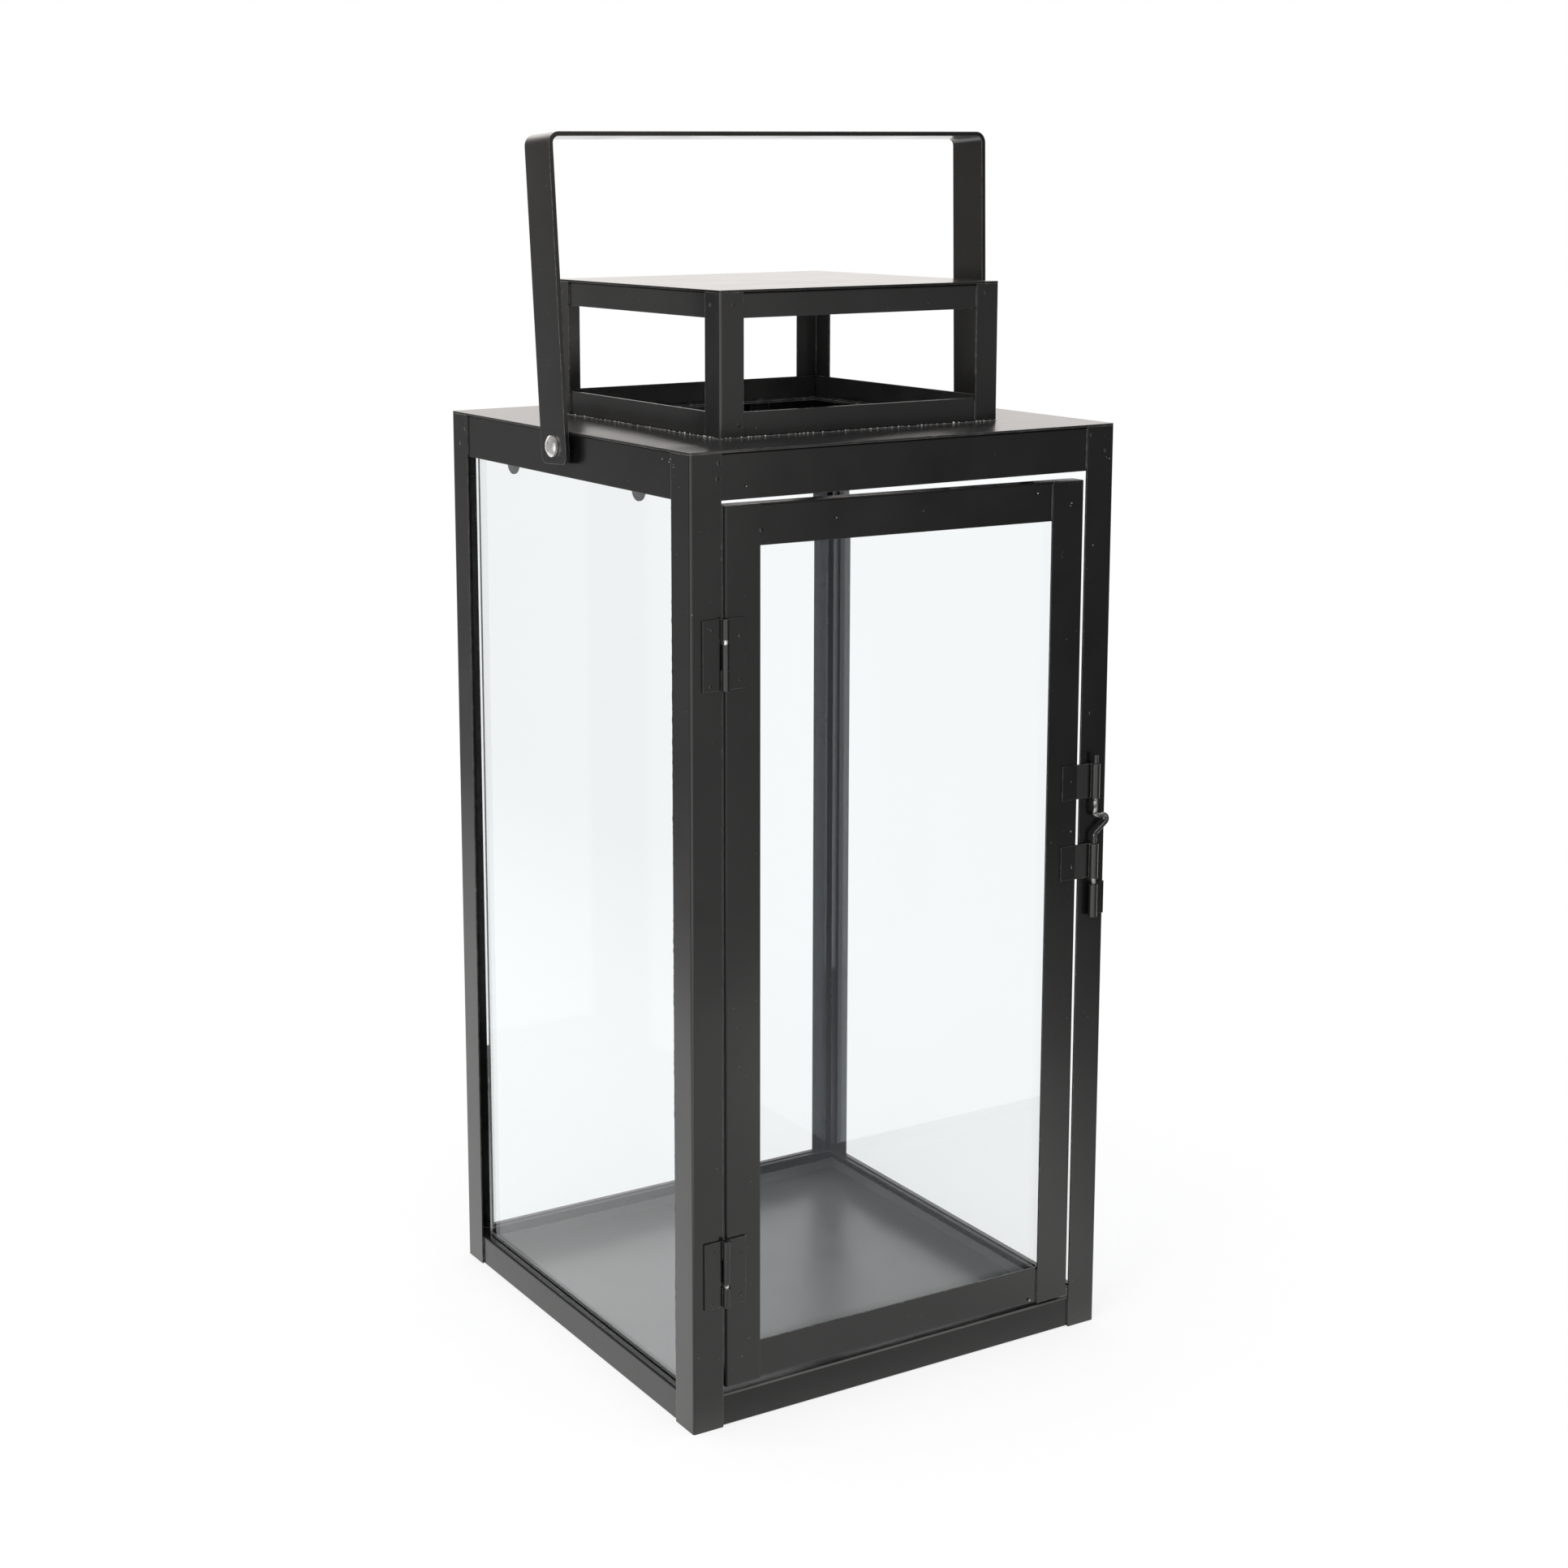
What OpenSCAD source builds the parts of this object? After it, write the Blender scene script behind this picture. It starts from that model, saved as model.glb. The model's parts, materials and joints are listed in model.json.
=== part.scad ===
// Candle lantern. A folded sheet-metal frame carries three fixed panes and a hinged glass door
// with a slide bolt. A vented cupola stands on the roof, and a strap handle turns over it.
// Millimetres. The origin is the centre of the footprint at floor level: +X right, -Y the door's
// side, +Z up. Sides are numbered 0 front, 1 right, 2 back, 3 left; corners 0 front left,
// 1 front right, 2 back right, 3 back left.

/* [Body] */
// Width of the body over its posts
body_w = 220; // [200:1:260]
// Depth of the body over its posts
body_d = 220; // [200:1:260]
// Height of the body, from the floor to the top of the roof plate
body_h = 425; // [380:1:500]
// Thickness of the folded sheet
sheet = 0.8; // [0.6:0.1:0.9]
// Outer radius of the folds
bend_r = 1; // [1:0.1:1.8]
// Width of each leg of a corner post
post_leg = 15; // [13:0.5:17]
// Height of the top rails, roof plate included
top_rail_h = 20.5; // [19:0.5:26]
// Height of the ledge above the floor
bottom_rail_h = 14.5; // [12:0.5:20]
// Gap between the floor and the bottom rails
rail_lift = 0.5; // [0.3:0.1:1.5]
// How far the ledge reaches in from the body's outside
ledge_reach = 9; // [8.5:0.5:12]
// Thickness of the roof plate
roof_t = 1; // [0.8:0.1:1.5]
// Thickness of the base tray
base_t = 1; // [0.8:0.1:1.5]
// Height of the base tray's rim
base_rim_h = 6; // [4:0.5:8]

/* [Glass] */
// Thickness of the panes
glass_t = 3; // [2:0.5:4]
// How far the panes lie behind the body's outside
glass_set = 4; // [3:0.5:4.5]
// Distance from the body's front to the side panes
pane_front_inset = 3.5; // [2.5:0.5:10]
// Distance from the body's back to the left pane
pane_rear_inset = 16.5; // [10:0.5:18]
// Distance from the body's back to the right pane
right_pane_rear_inset = 7.5; // [5:0.5:12]
// Distance from the body's sides to the back pane
back_pane_inset = 10; // [8.5:0.5:14]
// How far the panes reach up behind the top rails
pane_cover = 6; // [3:0.5:7]
// Width of the tongues that keep the panes in
tongue_w = 11; // [8:0.5:14]
// How far the tongues hang below the top rails
tongue_drop = 5; // [4:0.5:8]
// Distance between the two tongues of a side
tongue_pitch = 116; // [60:2:150]

/* [Cupola] */
// Width of the cupola
cupola_w = 146; // [120:1:170]
// Depth of the cupola
cupola_d = 146; // [120:1:170]
// Height of the cupola above the roof
cupola_h = 62.5; // [45:0.5:90]
// Width of each leg of a cupola post
cupola_leg = 12; // [10:0.5:14]
// Height of the cupola's top rails, below the lid
cupola_top_rail_h = 10.9; // [10:0.1:14]
// Height of the cupola's bottom rails
cupola_bottom_rail_h = 11; // [8:0.5:13]
// Width of the foot that the bottom rails stand on, round the vent
cupola_foot = 2.2; // [2:0.1:4]
// Width of the flange under the lid
cupola_lip = 8; // [6:0.5:12]
// Thickness of the lid
lid_t = 1; // [0.8:0.1:1.5]

/* [Door] */
// Gap between the door and the hinge post
door_gap_hinge = 1.4; // [1:0.1:2]
// Gap between the door and the latch post
door_gap_latch = 1.3; // [1.2:0.1:3]
// Gap between the door and the top rail
door_gap_top = 2.2; // [1:0.1:4]
// Gap between the ledge and the door
door_gap_bottom = 3.5; // [2.5:0.1:6]
// Width of the door's face flanges
door_frame_w = 17.4; // [14:0.1:20]
// Depth of the door's edge flanges
door_depth = 8.5; // [8:0.5:10]
// How far the latch side of the door hangs lower than the hinge side
door_sag = 1.7; // [0:0.1:2]
// Height of the clips that hold the door's pane
clip_h = 10; // [6:0.5:14]
// How far the clips reach over the door's pane
clip_reach = 6; // [4:0.5:9]
// Distance from the ends of a stile to its clips
clip_inset = 70; // [40:1:120]

/* [Hinges] */
// Height of a hinge
hinge_h = 30; // [26:0.5:36]
// Width of a hinge leaf, from the pin's axis
leaf_w = 10.3; // [8:0.1:13]
// Thickness of a hinge leaf
leaf_t = 0.8; // [0.6:0.1:1]
// Outer diameter of the knuckles
knuckle_d = 3.3; // [3:0.1:4]
// Diameter of the hinge pins
pin_d = 1.8; // [1.4:0.1:2]
// Height of the door's knuckle
door_knuckle_h = 10.6; // [8:0.1:14]
// Length of pin left bare beside the door's knuckle
knuckle_play = 2.1; // [1:0.1:3]
// Distance from the door's top edge to the upper hinge
hinge_top_inset = 46.3; // [20:0.1:90]
// Distance from the door's bottom edge to the lower hinge
hinge_bottom_inset = 38; // [20:0.1:90]
// Gap between the door's face and the knuckles
hinge_lift = 0.2; // [0.1:0.1:0.4]

/* [Latch] */
// Diameter of the bolt's wire
bolt_d = 2.2; // [1.8:0.1:2.6]
// Thickness of the sheet that is curled round the bolt
curl_t = 0.7; // [0.5:0.1:0.9]
// Play of the bolt in its curls, all round
curl_play = 0.2; // [0.1:0.05:0.3]
// Distance from the body's side to the bolt's axis
bolt_edge = 8.4; // [7:0.1:9]
// Gap between the post's face and the curls
guide_clear = 0.9; // [0.5:0.1:1.5]
// Height of the two guides
guide_h = 16; // [12:0.5:20]
// How far the guides lap over the door's stile
guide_lap = 9.3; // [6:0.1:12]
// Flat of the guides that is left before they rise off the stile
guide_flat = 8.2; // [4:0.1:9]
// Height of the keeper
keeper_h = 15.2; // [10:0.1:18]
// Gap between the keeper and the lower guide
keeper_gap = 3; // [2:0.1:6]
// Distance from the keeper's flat edge to the body's side
keeper_edge = 0.4; // [0.2:0.1:1]
// Height of the lower guide above the floor
latch_z = 218; // [150:1:260]
// How far the closed bolt reaches into the keeper
bolt_engage = 3; // [2:0.1:6]
// Lift of the bolt, from closed to its stop
bolt_stroke = 9.3; // [7:0.1:14]
// How far the finger loop stands out from the bolt's axis
loop_reach = 7; // [5.5:0.1:8]
// Bend radius of the loop, to the middle of the wire
loop_bend_r = 2; // [1.5:0.1:2.4]
// How far the bolt stands out of the upper guide when closed
bolt_top = 1; // [0.5:0.1:4]
// Slit left where a curl closes
slit_w = 0.4; // [0.2:0.1:0.6]

/* [Handle] */
// Height of the handle's top above its pivots, when upright
handle_r = 135.3; // [125:0.1:180]
// Width of the strap
strap_w = 22.7; // [18:0.1:26]
// Thickness of the strap
strap_t = 2; // [1.5:0.1:3]
// Gap between the body's side and the strap, at the pivots
handle_gap = 2; // [1.2:0.1:3]
// Outward lean of each leg of the strap
handle_flare = 1.1; // [0:0.1:1.6]
// Outer radius of the strap's top bends
handle_bend_r = 5; // [4:0.5:15]
// Length of strap below the pivots
handle_tail = 7.9; // [7:0.1:12]
// Corner radius of the strap's ends
tail_corner_r = 4; // [2:0.5:6]
// Backward lean of the resting handle
handle_tilt = 3; // [0:0.1:10]
// Distance from the roof down to the pivots
pivot_drop = 6.8; // [6.4:0.1:9]
// Diameter of the pivot screws
screw_d = 5; // [4:0.5:5]
// Diameter of the screws' heads
head_d = 9.5; // [8:0.1:11]
// Height of the screws' heads
head_h = 3; // [2.4:0.1:3.5]
// Radius of the dome of the heads
head_dome_r = 7; // [6.5:0.1:10]
// Length of the cross recess
recess_len = 4.6; // [3.5:0.1:5.2]
// Width of the cross recess
recess_w = 0.9; // [0.6:0.1:1.2]
// Depth of the cross recess
recess_depth = 1.5; // [1:0.1:2]
// Width of the nuts across their flats
nut_af = 8; // [7:0.1:8.4]
// Height of the nuts
nut_h = 4; // [2.7:0.1:4.5]
// Length of screw past the nut
screw_past = 1; // [0.5:0.1:2]
// Outer diameter of the spacers between body and strap
spacer_d = 10; // [8:0.1:11]

/* [Hidden] */
$fn = 48;
// Clearances: a loose seat, a running fit, a fixed pin, and rubbing faces
seat_gap = 0.3;
run_fit = 0.05;
tight_fit = 0.02;
rub_gap = 0.1;
strap_play = 0.2;
web_sink = 0.1;
over = 1;

black = "#2b2b2c";
clear = [0.82, 0.9, 0.88, 0.35];
zinc = "#9c9b96";

front = -body_d / 2;
rail_top = body_h - roof_t;
mitre_gap = bend_r - sheet + 0.15;
lip_reach = glass_set + glass_t + seat_gap + sheet;
fold_clear = bend_r + strap_play;

door_x0 = -body_w / 2 + post_leg + door_gap_hinge;
door_x1 = body_w / 2 - post_leg - door_gap_latch;
door_z0 = bottom_rail_h + door_gap_bottom;
door_z1 = body_h - top_rail_h - door_gap_top;
sag_angle = atan(door_sag / (door_x1 - door_x0));
door_pane_set = 2 * sheet + strap_play;

hinge_x = -body_w / 2 + post_leg + door_gap_hinge / 2;
hinge_y = front - hinge_lift - knuckle_d / 2;
upper_hinge_z = door_z1 - hinge_top_inset - hinge_h;
lower_hinge_z = door_z0 + hinge_bottom_inset;
slot_h = door_knuckle_h + knuckle_play + rub_gap;
slot_z = (hinge_h - slot_h) / 2;

bolt_x = body_w / 2 - bolt_edge;
curl_in = bolt_d / 2 + curl_play;
curl_out = curl_in + curl_t;
bolt_y = front - guide_clear - curl_out;
// The loop's lower arm goes out 4 for each 3 that it climbs
loop_angle = atan2(4, 3);
loop_diag = (loop_reach - 2 * loop_bend_r * (1 - cos(loop_angle))) / sin(loop_angle);
loop_flat = loop_reach - 2 * loop_bend_r;
loop_h = 2 * loop_bend_r * (1 + sin(loop_angle)) + loop_diag * cos(loop_angle);
loop_z = latch_z + guide_h + 0.5;
upper_guide_z = loop_z + loop_h + bolt_stroke + seat_gap;
keeper_top = latch_z - keeper_gap;
tip_z = keeper_top - bolt_engage;
bolt_end_z = upper_guide_z + guide_h + bolt_top;
// The bolt is drawn just lifted out of its keeper
rest_lift = bolt_engage + strap_play;

pivot_z = body_h - pivot_drop;
strap_out = body_w / 2 + handle_gap + strap_t;
rail_face = body_w / 2 - sheet;
nut_face = rail_face - sheet;

// ---- Sheet-metal sections ----

// A rectangle whose corner at the origin is rounded
module one_round_corner(w, h, r) {
    difference() {
        square([w, h]);
        difference() {
            square(r);
            translate([r, r]) circle(r);
        }
    }
}

// Folded angle with its outer corner at the origin and its legs along +x and +y
module angle_section(leg_x, leg_y) {
    difference() {
        one_round_corner(leg_x, leg_y, bend_r);
        translate([sheet, sheet]) one_round_corner(leg_x, leg_y, bend_r - sheet);
    }
}

// Rectangle with four round corners, centred
module rounded_rect(w, d, r) {
    square([w - 2 * r, d], center = true);
    square([w, d - 2 * r], center = true);
    for (x = [-1, 1], y = [-1, 1])
        translate([x * (w / 2 - r), y * (d / 2 - r)]) circle(r);
}

// ---- Places ----

// Length of a side of a w by d plan
function side_len(side, w, d) = side % 2 == 0 ? w : d;

// Stands a piece on a side of a w by d plan: +X along the side, +Y inwards
module at_side(side, w, d) {
    rotate([0, 0, 90 * side])
        translate([0, -side_len(side + 1, w, d) / 2, 0]) children();
}

// Stands a piece on a corner of a w by d plan, with its legs along the two sides
module at_corner(corner, w, d) {
    translate([(corner == 0 || corner == 3 ? -w : w) / 2, (corner < 2 ? -d : d) / 2, 0])
        rotate([0, 0, 90 * corner]) children();
}

// Runs a section along X: its x becomes the depth Y, its y the height Z
module along_x(len) {
    translate([-len / 2, 0, 0]) rotate([90, 0, 90]) linear_extrude(len) children();
}

// Cuts both ends of a rail of a side at 45 degrees
module mitred(len) {
    half = len / 2 - mitre_gap;
    intersection() {
        children();
        linear_extrude(body_h + cupola_h) polygon([[-half, 0], [half, 0], [0, half]]);
    }
}

// ---- Body ----

module corner_post(corner) {
    color(black)
        at_corner(corner, body_w, body_d)
            linear_extrude(rail_top) angle_section(post_leg, post_leg);
}

module bottom_rail(side) {
    len = side_len(side, body_w, body_d);
    color(black)
        at_side(side, body_w, body_d)
            mitred(len)
                along_x(len)
                    translate([sheet, bottom_rail_h]) mirror([0, 1])
                        angle_section(ledge_reach - sheet, bottom_rail_h - rail_lift);
}

// Tongue that hangs from the top rail's flange behind the pane, with a round end
module tongue() {
    drop = top_rail_h - roof_t + tongue_drop;
    translate([0, lip_reach, rail_top])
        rotate([90, 0, 0])
            linear_extrude(sheet) {
                translate([-tongue_w / 2, -drop + tongue_w / 2])
                    square([tongue_w, drop - tongue_w / 2]);
                translate([0, -drop + tongue_w / 2]) circle(d = tongue_w);
            }
}

// The side rails carry the handle's pivots, and the three glazed sides carry tongues
module top_rail(side) {
    len = side_len(side, body_w, body_d);
    color(black)
        at_side(side, body_w, body_d) {
            difference() {
                mitred(len)
                    along_x(len)
                        translate([sheet, rail_top]) mirror([0, 1])
                            angle_section(lip_reach - sheet, top_rail_h - roof_t);
                if (side % 2 == 1)
                    translate([0, 0, pivot_z]) rotate([-90, 0, 0])
                        cylinder(d = screw_d + 2 * tight_fit, h = lip_reach);
            }
            if (side > 0)
                for (x = [-1, 1])
                    translate([x * tongue_pitch / 2, 0, 0]) tongue();
        }
}

module base_tray() {
    w = body_w - 4 * sheet;
    d = body_d - 4 * sheet;
    color(black)
        translate([0, 0, rail_lift])
            difference() {
                linear_extrude(base_rim_h) rounded_rect(w, d, bend_r);
                translate([0, 0, base_t])
                    linear_extrude(base_rim_h)
                        rounded_rect(w - 2 * sheet, d - 2 * sheet, bend_r - sheet);
            }
}

module roof_plate() {
    vent_inset = 2 * (sheet + cupola_foot);
    color(black)
        translate([0, 0, rail_top])
            linear_extrude(roof_t)
                difference() {
                    rounded_rect(body_w, body_d, bend_r);
                    square([cupola_w - vent_inset, cupola_d - vent_inset], center = true);
                }
}

// ---- Fixed panes ----

module pane(width) {
    pane_h = body_h - top_rail_h + pane_cover - bottom_rail_h;
    color(clear)
        translate([-width / 2, glass_set, bottom_rail_h]) cube([width, glass_t, pane_h]);
}

// The side panes stand off the middle; side 1 is right, side 3 left
module side_pane(side) {
    rear = side == 1 ? right_pane_rear_inset : pane_rear_inset;
    shift = (rear - pane_front_inset) / 2;
    at_side(side, body_w, body_d)
        translate([(side == 1 ? -1 : 1) * shift, 0, 0])
            pane(body_d - pane_front_inset - rear);
}

module glass_back() {
    at_side(2, body_w, body_d) pane(body_w - 2 * back_pane_inset);
}

// ---- Cupola ----

module cupola_post(corner) {
    color(black)
        translate([0, 0, body_h])
            at_corner(corner, cupola_w, cupola_d)
                linear_extrude(cupola_h - lid_t) angle_section(cupola_leg, cupola_leg);
}

module cupola_top_rail(side) {
    len = side_len(side, cupola_w, cupola_d);
    color(black)
        translate([0, 0, body_h])
            at_side(side, cupola_w, cupola_d)
                mitred(len)
                    along_x(len)
                        translate([sheet, cupola_h - lid_t]) mirror([0, 1])
                            angle_section(cupola_lip, cupola_top_rail_h);
}

module cupola_bottom_rail(side) {
    len = side_len(side, cupola_w, cupola_d);
    color(black)
        translate([0, 0, body_h])
            at_side(side, cupola_w, cupola_d)
                mitred(len)
                    along_x(len)
                        translate([sheet, 0]) angle_section(cupola_foot, cupola_bottom_rail_h);
}

module cupola_lid() {
    color(black)
        translate([0, 0, body_h + cupola_h - lid_t])
            linear_extrude(lid_t) rounded_rect(cupola_w, cupola_d, bend_r);
}

// ---- Door ----

// Clips folded in from the edge flange, behind the pane
module stile_clips() {
    stile_h = door_z1 - door_z0;
    for (z = [clip_inset, stile_h - clip_inset - clip_h])
        translate([sheet / 2, door_pane_set + glass_t + seat_gap, z])
            cube([clip_reach, sheet, clip_h]);
}

module stile() {
    linear_extrude(door_z1 - door_z0) angle_section(door_frame_w, door_depth);
    stile_clips();
}

module door_stile_hinge() {
    color(black) translate([door_x0, front, door_z0]) stile();
}

module door_stile_latch() {
    color(black) translate([door_x1, front, door_z0 - door_sag]) mirror([1, 0, 0]) stile();
}

// The door's rails lie behind the stiles and follow the door's sag
module door_rail(z, up) {
    rail_len = door_x1 - door_x0 - 2 * fold_clear;
    color(black)
        translate([door_x0 + fold_clear, front + sheet, z])
            rotate([0, sag_angle, 0])
                rotate([90, 0, 90])
                    linear_extrude(rail_len)
                        mirror([0, up ? 0 : 1]) angle_section(door_depth - sheet, door_frame_w);
}

module door_glass() {
    edge = sheet + seat_gap;
    pane_z0 = door_z0 + edge;
    pane_z1 = door_z1 - edge - door_sag - strap_play;
    color(clear)
        translate([door_x0 + edge, front + door_pane_set, pane_z0])
            cube([door_x1 - door_x0 - 2 * edge, glass_t, pane_z1 - pane_z0]);
}

// ---- Hinges ----

// Stands a piece on the pin's axis at a hinge's lower end
module at_hinge(z) {
    translate([hinge_x, hinge_y, z]) children();
}

// Leaf that lies on the face, from a distance off the pin's axis, and reaches towards +X
module leaf_plate(from, z, h) {
    translate([from, -hinge_y + front - leaf_t, z]) cube([leaf_w - from, leaf_t, h]);
}

// The post's leaf has a knuckle at each end and an open middle
module hinge_leaf_post(z) {
    leaf_start = knuckle_d / 2 + seat_gap;
    color(black)
        at_hinge(z)
            mirror([1, 0, 0])
                difference() {
                    union() {
                        leaf_plate(0, 0, hinge_h);
                        cylinder(d = knuckle_d, h = hinge_h);
                    }
                    translate([-leaf_start, -leaf_start, slot_z])
                        cube([2 * leaf_start, 2 * leaf_start + hinge_lift + sheet, slot_h]);
                    translate([0, 0, -over])
                        cylinder(d = pin_d + 2 * tight_fit, h = hinge_h + 2 * over);
                }
}

// The door's leaf has the middle knuckle. It bears on the post's lower knuckle at the upper
// hinge, and on the upper knuckle at the lower one
module hinge_leaf_door(z, bears_low) {
    knuckle_z = slot_z + (bears_low ? rub_gap : knuckle_play);
    leaf_start = knuckle_d / 2 + seat_gap;
    color(black)
        at_hinge(z)
            difference() {
                union() {
                    leaf_plate(leaf_start, 0, hinge_h);
                    leaf_plate(0, knuckle_z, door_knuckle_h);
                    translate([0, 0, knuckle_z]) cylinder(d = knuckle_d, h = door_knuckle_h);
                }
                translate([0, 0, -over])
                    cylinder(d = pin_d + 2 * run_fit, h = hinge_h + 2 * over);
            }
}

module hinge_pin(z) {
    color(zinc) at_hinge(z) cylinder(d = pin_d, h = hinge_h);
}

// ---- Slide bolt ----

// A plate that lies on the face, rises and ends in a curl round the bolt. The origin is on the
// face in front of the bolt; reach is the plate's far end, rise where it leaves the face
module curled_plate(reach, rise, h) {
    curl_y = -guide_clear - curl_out;
    web_low = -guide_clear - web_sink;
    web_high = curl_y + curl_in + web_sink;
    difference() {
        union() {
            linear_extrude(h)
                polygon([
                    [-reach, 0], [-rise, 0], [0, web_low], [0, web_high],
                    [-rise, -curl_t], [-reach, -curl_t]
                ]);
            translate([0, curl_y, 0]) cylinder(r = curl_out, h = h);
        }
        translate([0, curl_y, -over]) cylinder(r = curl_in, h = h + 2 * over);
        translate([-curl_out - slit_w, curl_y + curl_in - web_sink - slit_w, -over])
            cube([curl_out, slit_w, h + 2 * over]);
    }
}

module bolt_guide(z) {
    reach = bolt_x - door_x1 + guide_lap;
    color(black) translate([bolt_x, front, z]) curled_plate(reach, reach - guide_flat, guide_h);
}

module bolt_keeper() {
    reach = bolt_edge - keeper_edge;
    color(black)
        translate([bolt_x, front, keeper_top - keeper_h])
            mirror([1, 0, 0]) curled_plate(reach, reach / 2, keeper_h);
}

// Straight wire along +Z, with what follows at its end
module wire_run(len) {
    cylinder(d = bolt_d, h = len);
    translate([0, 0, len]) children();
}

// Wire that turns from +Z towards +X, with what follows at its end
module wire_bend(angle) {
    translate([loop_bend_r, 0, 0])
        rotate([90, 0, 180])
            rotate_extrude(angle = angle) translate([loop_bend_r, 0]) circle(d = bolt_d);
    translate([loop_bend_r * (1 - cos(angle)), 0, loop_bend_r * sin(angle)])
        rotate([0, angle, 0]) children();
}

// Turns the next bend the other way
module flip() {
    rotate([0, 0, 180]) children();
}

module slide_bolt() {
    upper_run = bolt_end_z - loop_z - loop_h;
    color(zinc)
        translate([bolt_x, bolt_y, tip_z + rest_lift])
            wire_run(loop_z - tip_z)
                wire_bend(loop_angle)
                    wire_run(loop_diag)
                        flip() wire_bend(loop_angle)
                            wire_bend(90)
                                flip() wire_run(loop_flat)
                                    wire_bend(90)
                                        wire_run(upper_run);
}

// ---- Handle ----

// Filled front outline of the bent strap, set in by a distance and centred on the strap's width
module strap_core(inset, foot, width) {
    corner_z = handle_r - handle_bend_r;
    corner_x = strap_out + (corner_z * sin(handle_flare) - handle_bend_r) / cos(handle_flare);
    r = handle_bend_r - inset;
    bend_x = corner_x + r * cos(handle_flare);
    bend_z = corner_z - r * sin(handle_flare);
    foot_x = bend_x - (bend_z - foot) * tan(handle_flare);
    rotate([90, 0, 0])
        linear_extrude(width, center = true)
            polygon([
                [-foot_x, foot], [-bend_x, bend_z], [-corner_x, corner_z + r],
                [corner_x, corner_z + r], [bend_x, bend_z], [foot_x, foot]
            ]);
    for (side = [-1, 1])
        translate([side * corner_x, 0, corner_z])
            rotate([90, 0, 0]) cylinder(r = r, h = width, center = true);
}

// Side outline of the strap, which rounds the corners of its ends
module strap_side() {
    top = handle_r + strap_w;
    translate([0, (top - handle_tail) / 2])
        rounded_rect(strap_w, top + handle_tail, tail_corner_r);
}

module handle_strap() {
    strap_span = 2 * (strap_out + handle_r * sin(handle_flare)) + strap_w;
    color(black)
        translate([0, 0, pivot_z])
            rotate([-handle_tilt, 0, 0])
                difference() {
                    intersection() {
                        difference() {
                            strap_core(0, -handle_tail - over, strap_w + over);
                            strap_core(strap_t, -handle_tail - 2 * over, strap_w + 2 * over);
                        }
                        rotate([90, 0, 90]) linear_extrude(strap_span, center = true) strap_side();
                    }
                    rotate([0, 90, 0])
                        cylinder(d = screw_d + 2 * run_fit, h = strap_span, center = true);
                }
}

// Puts a piece on each pivot: its +Z points out from the body's axis
module at_pivots() {
    for (side = [0, 1])
        mirror([side, 0, 0])
            translate([0, 0, pivot_z]) rotate([0, 90, 0]) children();
}

// Pan head with a domed top and a cross recess
module screw_head() {
    difference() {
        intersection() {
            cylinder(d = head_d, h = head_h);
            translate([0, 0, head_h - head_dome_r]) sphere(head_dome_r);
        }
        for (turn = [0, 90])
            rotate([0, 0, turn])
                translate([-recess_len / 2, -recess_w / 2, head_h - recess_depth])
                    cube([recess_len, recess_w, recess_depth + over]);
    }
}

module handle_screws() {
    tip = nut_face - nut_h - screw_past;
    under_head = strap_out + strap_play;
    color(zinc)
        at_pivots() {
            translate([0, 0, tip]) cylinder(d = screw_d, h = under_head - tip);
            translate([0, 0, under_head]) screw_head();
        }
}

module handle_spacers() {
    spacer_len = strap_out - strap_t - strap_play - rail_face;
    color(black)
        at_pivots()
            translate([0, 0, rail_face])
                difference() {
                    cylinder(d = spacer_d, h = spacer_len);
                    translate([0, 0, -over])
                        cylinder(d = screw_d + 2 * tight_fit, h = spacer_len + 2 * over);
                }
}

module handle_nuts() {
    color(zinc)
        at_pivots()
            translate([0, 0, nut_face - nut_h])
                difference() {
                    rotate([0, 0, 90]) cylinder(d = nut_af / cos(30), h = nut_h, $fn = 6);
                    translate([0, 0, -over])
                        cylinder(d = screw_d + 2 * tight_fit, h = nut_h + 2 * over);
                }
}

// ---- Nodes ----

corner_post(0);  // post_front_left
corner_post(1);  // post_front_right
corner_post(2);  // post_back_right
corner_post(3);  // post_back_left
top_rail(0);  // top_rail_front
top_rail(1);  // top_rail_right
top_rail(2);  // top_rail_back
top_rail(3);  // top_rail_left
bottom_rail(0);  // bottom_rail_front
bottom_rail(1);  // bottom_rail_right
bottom_rail(2);  // bottom_rail_back
bottom_rail(3);  // bottom_rail_left
base_tray();
roof_plate();
side_pane(1);  // glass_right
glass_back();
side_pane(3);  // glass_left
cupola_post(0);  // cupola_post_front_left
cupola_post(1);  // cupola_post_front_right
cupola_post(2);  // cupola_post_back_right
cupola_post(3);  // cupola_post_back_left
cupola_top_rail(0);  // cupola_top_rail_front
cupola_top_rail(1);  // cupola_top_rail_right
cupola_top_rail(2);  // cupola_top_rail_back
cupola_top_rail(3);  // cupola_top_rail_left
cupola_bottom_rail(0);  // cupola_bottom_rail_front
cupola_bottom_rail(1);  // cupola_bottom_rail_right
cupola_bottom_rail(2);  // cupola_bottom_rail_back
cupola_bottom_rail(3);  // cupola_bottom_rail_left
cupola_lid();
door_stile_hinge();
door_stile_latch();
door_rail(door_z1, false);  // door_rail_top
door_rail(door_z0, true);  // door_rail_bottom
door_glass();
hinge_leaf_post(upper_hinge_z);  // hinge_leaf_upper_post
hinge_leaf_post(lower_hinge_z);  // hinge_leaf_lower_post
hinge_leaf_door(upper_hinge_z, true);  // hinge_leaf_upper_door
hinge_leaf_door(lower_hinge_z, false);  // hinge_leaf_lower_door
hinge_pin(upper_hinge_z);  // hinge_pin_upper
hinge_pin(lower_hinge_z);  // hinge_pin_lower
bolt_guide(upper_guide_z);  // bolt_guide_upper
bolt_guide(latch_z);  // bolt_guide_lower
bolt_keeper();
slide_bolt();
handle_strap();
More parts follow.
